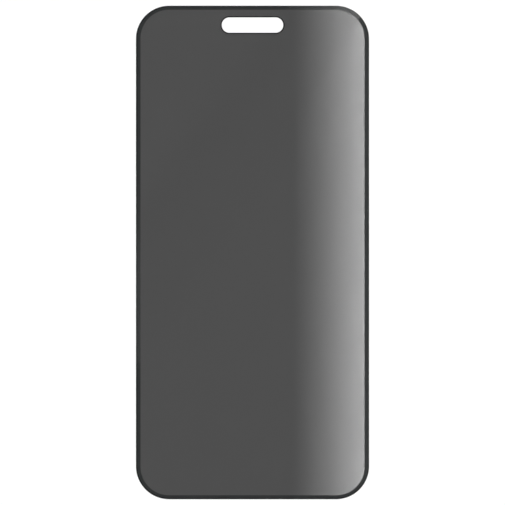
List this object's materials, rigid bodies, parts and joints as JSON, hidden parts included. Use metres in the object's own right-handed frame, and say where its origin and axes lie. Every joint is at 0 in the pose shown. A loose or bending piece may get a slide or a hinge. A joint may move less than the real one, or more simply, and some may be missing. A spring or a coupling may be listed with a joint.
{
  "type": "phone privacy screen protector",
  "caption": "Flat rounded glass sheet with a bevelled black border, a dark louvre film behind it and a pill-shaped camera cut-out; sticks to a phone's front to hide the screen from the side.",
  "frame": {"origin": "middle of the adhesive side, on the plane that the sheet lies on", "axes": "+X across the sheet, +Y along it towards the camera cut-out, +Z out of the glass face"},
  "size_m": [0.0698, 0.148, 0.0005],
  "materials": {
    "clear_glass": "polished clear tempered glass",
    "louvre_film": "dark grey micro-louvre film, smooth",
    "black_border": "black, smooth"
  },
  "bodies": {
    "root": {"cover_glass": "clear_glass", "privacy_film": "louvre_film", "border_frame": "black_border", "cutout_rim": "black_border"}
  },
  "joints": []
}
